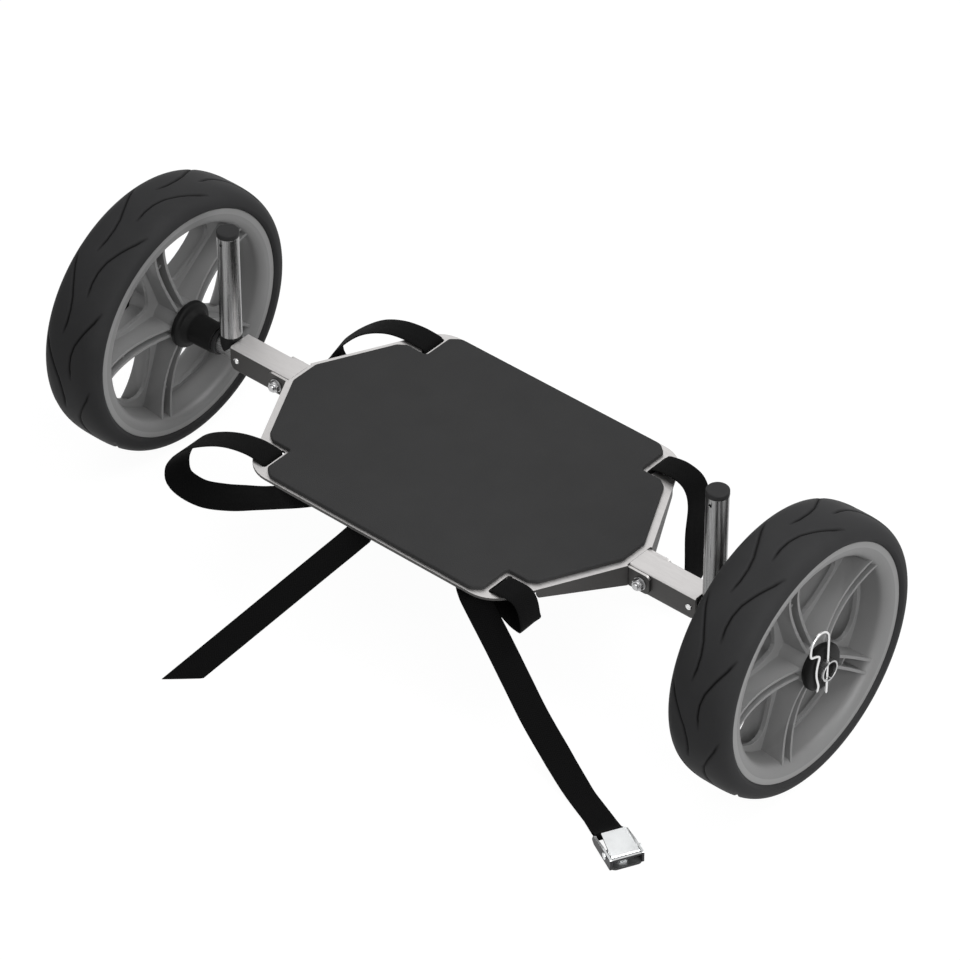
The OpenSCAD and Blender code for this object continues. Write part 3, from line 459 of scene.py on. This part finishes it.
buckleSpot = {"at": (0.3169, -0.1738), "turn": math.radians(-27.5), "bar": (-0.0158, 0.005),
              "barRadius": 0.0015}


def byBuckle(u, z):
    # a station of the strap given along the buckle, with the buckle's own width direction
    c, s = math.cos(buckleSpot["turn"]), math.sin(buckleSpot["turn"])
    return (buckleSpot["at"][0] + c * u, buckleSpot["at"][1] + s * u, z, -s, c, 0)


barU, barZ = buckleSpot["bar"]
barR = buckleSpot["barRadius"]
strapRoutes["strap_buckle_tail"] = [
    (-0.1295, 0.106, 0.1415, 0, 1, 0), (-0.1305, 0.106, 0.1438, 0, 1, 0),
    (-0.136, 0.106, 0.1447, 0, 1, 0), (-0.152, 0.106, 0.1448, 0, 1, 0),
    (-0.173, 0.106, 0.141, 0, 1, 0), (-0.195, 0.106, 0.1312, 0, 1, 0.05),
    (-0.2145, 0.106, 0.1165, 0, 1, 0.1), (-0.2325, 0.104, 0.0975, -0.05, 0.95, 0.2),
    (-0.245, 0.103, 0.078, -0.1, 0.95, 0.3), (-0.237, 0.102, 0.065, 0, 0.95, 0.3),
    (-0.204, 0.1, 0.066, 0.1, 0.95, 0.2), (-0.16, 0.094, 0.088, 0, 1, 0),
    (-0.112, 0.08, 0.116, 0.3, 0.9, 0), (-0.06, 0.044, 0.134, 0.6, 0.8, 0),
    (0, -0.006, 0.1375, 0.64, 0.77, 0), (0.052, -0.062, 0.1355, 0.64, 0.77, 0),
    (0.096, -0.107, 0.1345, 0.55, 0.8, 0.15), (0.109, -0.1178, 0.1318, 0.5, 0.8, 0.32),
    (0.118, -0.12, 0.123, 0.5, 0.8, 0.33), (0.144, -0.1235, 0.095, 0.5, 0.8, 0.33),
    (0.166, -0.1265, 0.07, 0.5, 0.8, 0.33), (0.189, -0.1295, 0.044, 0.5, 0.8, 0.33),
    (0.214, -0.1325, 0.021, 0.5, 0.8, 0.3), (0.228, -0.1373, 0.015, 0.45, 0.86, 0.15),
    (0.241, -0.141, 0.0085, 0.4, 0.9, 0.1), (0.255, -0.146, 0.0045, 0.38, 0.92, 0),
    (0.271, -0.152, 0.0032, 0.38, 0.92, 0), byBuckle(-0.03, 0.0032),
    byBuckle(barU - 0.004, 0.0056), byBuckle(barU - 0.0016, barZ + barR + 0.0009),
    byBuckle(barU + 0.0012, barZ + barR + 0.0007), byBuckle(barU + barR + 0.0009, barZ),
    byBuckle(barU + 0.0012, barZ - barR - 0.0007), byBuckle(barU - 0.002, barZ - barR - 0.0009),
    byBuckle(barU - 0.009, 0.001), byBuckle(-0.046, 0.00095)]

strapEnds = {  # far end and lay of each stretch; only the two tails end away from the deck
    "strap_front_tail": ("bare", "hanging"),
    "strap_front_run": ("object", "taut"),
    "strap_middle": ("object", "loose"),
    "strap_back_run": ("object", "taut"),
    "strap_buckle_tail": ("fitting", "loose"),
}


def strapRing(count):
    # a flattened superellipse, one webbing wide and thick: the selvedges are round
    a = 2 * math.pi * (np.arange(count) + 0.5) / count
    c, s = np.cos(a), np.sin(a)
    x = webbing["width"] / 2 * np.sign(c) * np.abs(c) ** 0.5
    y = webbing["thickness"] / 2 * np.sign(s) * np.abs(s) ** 0.4
    return x, y


def makeStrap(name, route, slantedEnd):
    # a flat ring carried along the smoothed route, its width kept square to the run
    centre, width = smoothRoute(route, webbing["spacing"])
    tangent = np.gradient(centre, axis=0)
    tangent /= np.linalg.norm(tangent, axis=1)[:, None]
    normal = np.cross(tangent, width)
    normal /= np.linalg.norm(normal, axis=1)[:, None]
    width = np.cross(normal, tangent)
    along = np.concatenate([[0], np.cumsum(np.linalg.norm(np.diff(centre, axis=0), axis=1))])
    x, y = strapRing(webbing["ringPoints"])
    points = (centre[:, None] + x[None, :, None] * width[:, None]
              + y[None, :, None] * normal[:, None])
    if slantedEnd:  # the free tip is cut on a slant, so that both its corners touch the floor
        near = np.clip(1 - (along[-1] - along) / webbing["tipLength"], 0, 1)
        share = webbing["tipSlope"] * near
        points -= (share[:, None] * x[None, :])[:, :, None] * tangent[:, None]
    rows, columns = points.shape[:2]
    uv = np.stack([np.broadcast_to(x + webbing["width"] / 2, (rows, columns)),
                   np.broadcast_to(along[:, None], (rows, columns))], 2)
    caps = [range(columns)[::-1], range((rows - 1) * columns, rows * columns)]
    obj = makeObject(name, points.reshape(-1, 3), gridFaces(rows, columns, closeColumns=True), caps,
                     uv.reshape(-1, 2))
    obj.data.materials.append(webbingBlack)
    return obj, centre, float(along[-1])


for nodeName, route in strapRoutes.items():
    farEnd, lay = strapEnds[nodeName]
    strap, centre, length = makeStrap(nodeName.replace("strap_", "webbing_"), route,
                                      farEnd == "bare")
    finishPiece(strap, "deck", "webbing", nodeName)
print("straps ready")


# tyres

# lengths in metres; pitch, stagger, grooveEnd, grooveFade and first are degrees round the tyre
tyreShape = {
    "centre": 0.3565, "axleHeight": 0.13, "halfWidth": 0.032, "shoulder": 0.115, "crown": 0.015,
    "bead": 0.112, "seat": 0.0203, "seatRadius": 0.099, "rimHalf": 0.0293,
    "sidePower": 0.62, "crownPower": 0.8, "around": 1000, "across": 84,
    "grooveDepth": 0.0016, "grooveWidth": 0.0011, "pitch": 36.0, "stagger": 18.0,
    "grooveEnd": 33.5, "grooveFade": 5, "fadeFloor": 0.15,
    "first": {"left": 161.7, "right": 179.7},
}
# one groove of the tread: degrees from its start and millimetres from the middle of the tyre
grooveLine = np.array([(0.5, 6.8), (6, 5.2), (11, 5.6), (16, 8.2), (22, 14.5), (28, 21.5),
                       (33, 25.6)])


def tyreProfile(shape):
    # distance from the middle and radius: a superellipse from bead to bead, evenly spaced
    a = np.linspace(0, math.pi, 4001)
    c, s = np.cos(a), np.sin(a)
    x = shape["halfWidth"] * np.sign(c) * np.abs(c) ** shape["sidePower"]
    r = shape["shoulder"] + shape["crown"] * np.abs(s) ** shape["crownPower"]
    d = np.concatenate([[0], np.cumsum(np.hypot(np.diff(x), np.diff(r)))])
    even = np.linspace(0, d[-1], shape["across"])
    return np.interp(even, d, x), np.interp(even, d, r)


def grooveAt(angle, x, shape, first):
    # how deep the tread is cut at an angle in degrees and a distance x in metres, 0 to 1
    cut = np.zeros(np.broadcast(angle, x).shape)
    arc = math.radians(1) * (shape["shoulder"] + shape["crown"]) * 1000  # mm for one degree
    for side, offset in ((1, 0.0), (-1, shape["stagger"])):
        turn = (first - offset - angle) % shape["pitch"]
        s, t = turn * arc, side * x * 1000
        line = grooveLine * (arc, 1)
        best = np.full(cut.shape, 1e9)
        for p, q in zip(line[:-1], line[1:]):
            d = q - p
            u = np.clip(((s - p[0]) * d[0] + (t - p[1]) * d[1]) / (d @ d), 0, 1)
            best = np.minimum(best, np.hypot(s - p[0] - u * d[0], t - p[1] - u * d[1]))
        reach = np.minimum(turn, shape["grooveEnd"] - turn) / shape["grooveFade"]
        ends = np.clip(reach + shape["fadeFloor"], 0, 1)
        cut = np.maximum(cut, np.exp(-(best / (shape["grooveWidth"] * 1000)) ** 2) * ends)
    return cut


def makeTyre(side, sign):
    # the profile turned about the axle, its radius less the depth of the grooves there
    shape = tyreShape
    x, r = tyreProfile(shape)
    angle = np.linspace(0, 360, shape["around"], endpoint=False)[:, None]
    cut = grooveAt(angle, x[None, :], shape, shape["first"][side])
    radius = r[None, :] - cut * shape["grooveDepth"]
    # the base goes down into the rim's channel and back
    half, seat, bead, low = (shape[k] for k in ("rimHalf", "seat", "bead", "seatRadius"))
    baseX = np.array([-half, -seat, -seat, seat, seat, half])
    baseR = np.array([bead, bead, low, low, bead, bead])
    rows = shape["around"]
    baseSize = (rows, len(baseX))
    allX = np.concatenate([np.broadcast_to(x, (rows, len(x))),
                           np.broadcast_to(baseX, baseSize)], 1)
    allR = np.concatenate([radius, np.broadcast_to(baseR, baseSize)], 1)
    a = np.radians(angle)
    points = np.stack([sign * (shape["centre"] + allX), allR * np.cos(a),
                       shape["axleHeight"] + allR * np.sin(a)], 2)
    quads = gridFaces(rows, allX.shape[1], True, True)
    if sign < 0:
        quads = quads[:, ::-1]
    obj = makeObject("tyreBody_" + side, points.reshape(-1, 3), quads)
    depth = np.concatenate([cut, np.zeros(baseSize)], 1)
    groove = obj.data.attributes.new("groove", "FLOAT", "POINT")
    groove.data.foreach_set("value", depth.ravel().astype(np.float32))
    obj.data.materials.append(tyreRubber)
    smoothByAngle(obj, 50)
    finishPiece(obj, "wheel_" + side, "tyre_rubber", "tyre_" + side)


for side, sign in sideNames.items():
    makeTyre(side, sign)
print("tyres ready")


# deck pad

padShape = {"thickness": 0.0038, "base": 0.1425, "lift": 0.0001, "round": 0.0013,
            "around": 900, "rings": 36, "middle": 0.02}
# a quarter of the pad's outline: corner points in metres and how round each is
padQuarter = [(0.188, 0.0146, 0.005), (0.1529, 0.0835, 0.005), (0.1450, 0.0889, 0.004),
              (0.1230, 0.0889, 0.003), (0.1230, 0.1195, 0.004), (0.1140, 0.1268, 0.011)]


def roundedOutline(corners, steps):
    # arcs through the corners of a closed outline, then points at even distances along it
    out = []
    count = len(corners)
    for i in range(count):
        a, b, c = (np.array(corners[(i + k) % count][:2]) for k in (-1, 0, 1))
        r = corners[i][2]
        u, v = (a - b) / np.linalg.norm(a - b), (c - b) / np.linalg.norm(c - b)
        half = math.acos(np.clip(u @ v, -1, 1)) / 2
        o = b + (u + v) / np.linalg.norm(u + v) * r / math.sin(half)
        s, e = b + u * r / math.tan(half) - o, b + v * r / math.tan(half) - o
        start = math.atan2(s[1], s[0])
        turn = (math.atan2(e[1], e[0]) - start + math.pi) % (2 * math.pi) - math.pi
        t = start + turn * np.linspace(0, 1, 12)
        out.append(np.stack([o[0] + r * np.cos(t), o[1] + r * np.sin(t)], 1))
    line = np.vstack(out + [out[0][:1]])
    d = np.concatenate([[0], np.cumsum(np.linalg.norm(np.diff(line, axis=0), axis=1))])
    even = np.linspace(0, d[-1], steps, endpoint=False)
    return np.stack([np.interp(even, d, line[:, 0]), np.interp(even, d, line[:, 1])], 1)


def makePad():
    # the outline offset inwards up a wall and over a rounded edge, then shrunk to the middle
    q = padQuarter
    corners = (q + [(-x, y, r) for x, y, r in q[::-1]] + [(-x, -y, r) for x, y, r in q]
               + [(x, -y, r) for x, y, r in q[::-1]])
    line = roundedOutline(corners, padShape["around"])
    ahead = np.roll(line, -1, 0) - np.roll(line, 1, 0)
    inward = np.stack([-ahead[:, 1], ahead[:, 0]], 1) / np.linalg.norm(ahead, axis=1)[:, None]
    e, base, top = padShape["round"], padShape["base"], padShape["base"] + padShape["thickness"]
    bend = np.linspace(0, math.pi / 2, 6)
    rings = [(0.0, base + padShape["lift"]), (0.0, top - e)]
    rings += [(e * (1 - math.cos(b)), top - e + e * math.sin(b)) for b in bend[1:]]
    wall = [np.column_stack([line + inward * d, np.full(len(line), z)]) for d, z in rings]
    inner = wall[-1][:, :2]
    scale = np.linspace(1, padShape["middle"], padShape["rings"])[1:]
    tops = [np.column_stack([inner * s, np.full(len(line), top)]) for s in scale]
    points = np.vstack(wall + tops)
    rows, columns = len(wall) + len(tops), len(line)
    quads = gridFaces(rows, columns, closeColumns=True)[:, ::-1]
    caps = [range((rows - 1) * columns, rows * columns), range(columns)[::-1]]
    obj = makeObject("padSheet", points, quads, caps)
    obj.data.materials.append(padFoam)
    smoothByAngle(obj, 60)
    finishPiece(obj, "deck", "pad_foam", "deck_pad")


makePad()
print("pad ready")


# sheet metal, tubes and fasteners

def paintedLightAbove(normal):
    # top faces get the lighter copy of a metal, painted light; the other faces get its darker copy,
    # painted shade
    return (normal[:, 2] < 0.3).astype(int)


# the plate's outline as the photograph shows it: shallow lips, and corners with a wide round;
# a point is on a lip outside the first number of lipZone, and at its foot below the second
plateTrim = {"inset": 0.0025, "lipBottom": 0.1396, "lipZone": (0.1294, 0.1392),
             "oldCentre": (0.12436, 0.113), "oldRadius": 0.019,
             "centre": (0.11644, 0.0955), "radius": 0.034, "near": 0.0002}


def trimPlate(points):
    # points on a corner's arc move to the wider arc, and points on a lip move inwards
    trim, near = plateTrim, plateTrim["near"]
    x, y, z = np.abs(points[:, 0]), np.abs(points[:, 1]), points[:, 2]
    dx, dy = x - trim["oldCentre"][0], y - trim["oldCentre"][1]
    offArc = np.abs(np.hypot(dx, dy) - trim["oldRadius"])
    onArc = (dx > -near) & (dy > near / 2) & (offArc < near)
    onLip = ~onArc & (y > trim["lipZone"][0])
    wider = trim["radius"] / trim["oldRadius"]
    x = np.where(onArc, trim["centre"][0] + dx * wider, x)
    y = np.where(onArc, trim["centre"][1] + dy * wider, np.where(onLip, y - trim["inset"], y))
    z = np.where(onLip & (z < trim["lipZone"][1]), trim["lipBottom"], z)
    return np.stack([np.copysign(x, points[:, 0]), np.copysign(y, points[:, 1]), z], 1)


# the plate's top faces get the painted-light copy of the sheet metal, its flanges and sides the
# painted-shade copy, by their normals
dressNode("deck_plate", "plateSheet", "deck", "sheet_metal", [sheetPaintedLight, sheetPaintedShade], 0.0004,
          pick=paintedLightAbove, reshape=trimPlate)
for nodeName, pieceName in (("pivot_bolts", "pivotBolts"), ("pivot_nuts", "pivotNuts"),
                            ("pivot_washers", "pivotWashers")):
    dressNode(nodeName, pieceName, "deck", "fastener_metal", [zincMetal], 0.0002, angle=20)

armPieces = {  # node stem: piece name, slot, material, edge rounding in metres
    "axle_tube": ("axleTube", "tube_metal", axleMetal, 0.0002),
    "post": ("postTube", "tube_metal", tubeMetal, 0.0003),
    "post_saddle": ("postSaddle", "black_plastic", blackPlastic, 0.0005),
    "post_cap": ("postCap", "cap_plastic", capPlastic, 0.0004),
    "axle_washer": ("axleWasher", "cap_plastic", capPlastic, 0.0004),
}
wheelPieces = {
    "rim_barrel": ("rimBarrel", "rim_plastic", rimPlastic, 0.0006),
    "rim_spokes": ("rimSpokes", "rim_plastic", rimPlastic, 0.0005),
    "inboard_bush": ("inboardBush", "black_plastic", blackPlastic, 0.0005),
    "outboard_bush": ("outboardBush", "black_plastic", blackPlastic, 0.0005),
}
for side in sideNames:
    # the arm's top faces get the painted-light copy of the sheet metal, its sides the painted-shade
    # copy, by their normals
    dressNode("arm_tube_" + side, "armTube_" + side, "arm_" + side, "arm_metal",
              [sheetPaintedLight, sheetPaintedShade], 0.0004, pick=paintedLightAbove)
    for body, pieces in (("arm_", armPieces), ("wheel_", wheelPieces)):
        for stem, (pieceName, slotName, material, width) in pieces.items():
            dressNode(stem + "_" + side, pieceName + "_" + side, body + side, slotName,
                      [material], width)
    dressNode("snap_button_" + side, "snapButton_" + side, "button_" + side, "spring_steel",
              [springSteel], 0.0002)
    dressNode("snap_spring_" + side, "snapSpring_" + side, "button_" + side, "spring_steel",
              [springSteel], 0)
print("metal and wheels ready")


# hairpins

pinShape = {"x": 0.39635, "axleHeight": 0.13, "axleRadius": 0.01, "radius": 0.00125, "grip": 0.0115,
            "bow": 0.012, "low": 0.026, "high": 0.0345, "spacing": 0.0008, "sides": 16}


def pinRoute(shape):
    # the clip's centreline in its own plane: straight leg, bow, kink and sprung leg
    g, b, h, r = shape["grip"], shape["bow"], shape["high"], shape["axleRadius"]
    bow = [(-b + b * math.cos(math.radians(a)), h + b * math.sin(math.radians(a)))
           for a in range(0, 181, 20)]
    kink = [(-2 * b, h - 0.004), (-2 * b + 0.0015, h - 0.0075), (-g - 0.005, h - 0.01),
            (-g - 0.001, h - 0.0125), (-g - 0.0006, h - 0.0155)]
    sprung = [(-g - 0.0022, r + 0.004), (-g - 0.0034, r - 0.002), (-g - 0.0032, r - 0.008),
              (-g - 0.0016, 0.005 - r), (-g - 0.0003, 0.001 - r), (-g - 0.0002, -r - 0.002),
              (-g - 0.0014, -r - 0.007)]
    return [(0, -shape["low"]), (0, -0.01), (0, 0.005), (0, h - 0.004)] + bow + kink + sprung


def makeHairpin(side, sign):
    # a round wire carried along the clip's centreline
    shape = pinShape
    line = np.array([(y, z, 0, 0, 0, 0) for y, z in pinRoute(shape)])
    centre, _ = smoothRoute(line, shape["spacing"])
    centre = centre[:, :2]
    tangent = np.gradient(centre, axis=0)
    tangent /= np.linalg.norm(tangent, axis=1)[:, None]
    across = np.stack([-tangent[:, 1], tangent[:, 0]], 1)
    a = 2 * math.pi * np.arange(shape["sides"]) / shape["sides"]
    tip = np.sqrt(1 - np.linspace(-1, 0, 5)[:-1] ** 2 * 0.99)  # the wire's rounded ends
    radius = np.full(len(centre), shape["radius"])
    radius[:len(tip)] *= tip
    radius[-len(tip):] *= tip[::-1]
    c, s = radius[:, None] * np.cos(a), radius[:, None] * np.sin(a)
    points = np.stack([sign * (shape["x"] + s),
                       centre[:, :1] + c * across[:, :1],
                       shape["axleHeight"] + centre[:, 1:] + c * across[:, 1:]], 2)
    rows, columns = c.shape
    quads = gridFaces(rows, columns, closeColumns=True)
    caps = [range(columns)[::-1], range((rows - 1) * columns, rows * columns)]
    if sign < 0:
        quads, caps = quads[:, ::-1], [cap[::-1] for cap in caps]
    obj = makeObject("hairpinClip_" + side, points.reshape(-1, 3), quads, caps)
    obj.data.materials.append(springSteel)
    finishPiece(obj, "hairpin_" + side, "spring_steel", "hairpin_" + side)


for side, sign in sideNames.items():
    makeHairpin(side, sign)
print("hairpins ready")


# cam buckle

# the frame's top faces get painted light and its other faces painted shade, by their normals
dressNode("buckle_frame", "buckleFrame", "deck", "buckle_metal", [buckleChrome, buckleShade],
          0.0003, angle=15, pick=paintedLightAbove)
dressNode("buckle_pin", "bucklePin", "deck", "buckle_metal", [buckleChrome], 0.0003)
dressNode("buckle_spring", "buckleSpring", "deck", "spring_steel", [springSteel], 0.0002)
# the lever's top faces get painted light and its other faces painted shade, by their normals
dressNode("buckle_lever", "buckleLever", "buckle_lever", "buckle_metal",
          [buckleChrome, buckleShade], 0.0003, angle=15, pick=paintedLightAbove)
print("buckle ready")


# floor, light and background

studio = {"floorSize": 14.0, "floorPaint": 0.4, "glowShare": 0.8, "glow": 1.2, "sky": 0.68,
          "horizon": 0.08, "aim": (0, 0, 0.1)}
lamps = {  # name: place, width across and power
    "keyLamp": ((0.8, 0.6, 2.6), 1.6, 26.0),
    "fillLamp": ((2.6, -0.9, 1.5), 1.8, 38.0),
}


def rayKinds(tree, *kinds):
    # 1 for a ray of one of these kinds, 0 for any other
    path = addNode(tree, "ShaderNodeLightPath")
    result = path.outputs[kinds[0]]
    for kind in kinds[1:]:
        either = addNode(tree, "ShaderNodeMath", {"operation": "MAXIMUM"})
        tree.links.new(result, either.inputs[0])
        tree.links.new(path.outputs[kind], either.inputs[1])
        result = either.outputs["Value"]
    return result


def mixShaders(tree, factor, first, second, target):
    mix = addNode(tree, "ShaderNodeMixShader")
    for socket, output in zip(mix.inputs, (factor, first, second)):
        tree.links.new(output, socket)
    tree.links.new(mix.outputs["Shader"], target.inputs["Surface"])


def makeFloor():
    # painted for the light on the object, white for the camera and for reflections
    half = studio["floorSize"] / 2
    corners = [(-half, -half, 0), (half, -half, 0), (half, half, 0), (-half, half, 0)]
    floor = makeObject("studioFloor", corners, [(0, 1, 2, 3)], smooth=False)
    material, tree, shader = newMaterial("studioFloorPaint", (studio["floorPaint"],) * 3, 0.9)
    share = addNode(tree, "ShaderNodeMath", {"operation": "MULTIPLY"})
    share.inputs[1].default_value = studio["glowShare"]
    tree.links.new(rayKinds(tree, "Is Camera Ray", "Is Glossy Ray", "Is Transmission Ray"),
                   share.inputs[0])
    glow = addNode(tree, "ShaderNodeEmission",
                   {"Color": (1, 1, 1, 1), "Strength": studio["glow"]})
    mixShaders(tree, share.outputs["Value"], shader.outputs["BSDF"], glow.outputs["Emission"],
               tree.nodes["Material Output"])
    floor.data.materials.append(material)


def makeWorld():
    world = bpy.data.worlds.new("studioSky")
    bpy.context.scene.world = world
    world.use_nodes = True
    tree = world.node_tree
    plain = tree.nodes["Background"]
    plain.inputs["Color"].default_value = (1, 1, 1, 1)
    # the light of the sky falls off towards the horizon
    place = addNode(tree, "ShaderNodeTexCoord")
    direction = addNode(tree, "ShaderNodeSeparateXYZ", Vector=place.outputs["Generated"])
    tree.links.new(spread(tree, direction.outputs["Z"], studio["horizon"] * studio["sky"],
                          studio["sky"], 0, 1), plain.inputs["Strength"])
    white = addNode(tree, "ShaderNodeBackground", {"Color": (1, 1, 1, 1), "Strength": 1.0})
    mixShaders(tree, rayKinds(tree, "Is Camera Ray", "Is Glossy Ray"),
               plain.outputs["Background"], white.outputs["Background"],
               tree.nodes["World Output"])


def makeLamp(name, place, aim, size, power):
    data = bpy.data.lights.new(name, "AREA")
    data.shape = "DISK"
    data.size = size
    data.energy = power
    lamp = bpy.data.objects.new(name, data)
    bpy.context.scene.collection.objects.link(lamp)
    lamp.location = place
    lamp.rotation_mode = "QUATERNION"
    lamp.rotation_quaternion = (Vector(place) - Vector(aim)).to_track_quat("Z", "Y")


makeFloor()
makeWorld()
for name, (place, size, power) in lamps.items():
    makeLamp(name, place, studio["aim"], size, power)
bpy.context.scene.view_settings.view_transform = "Standard"
print("studio ready")
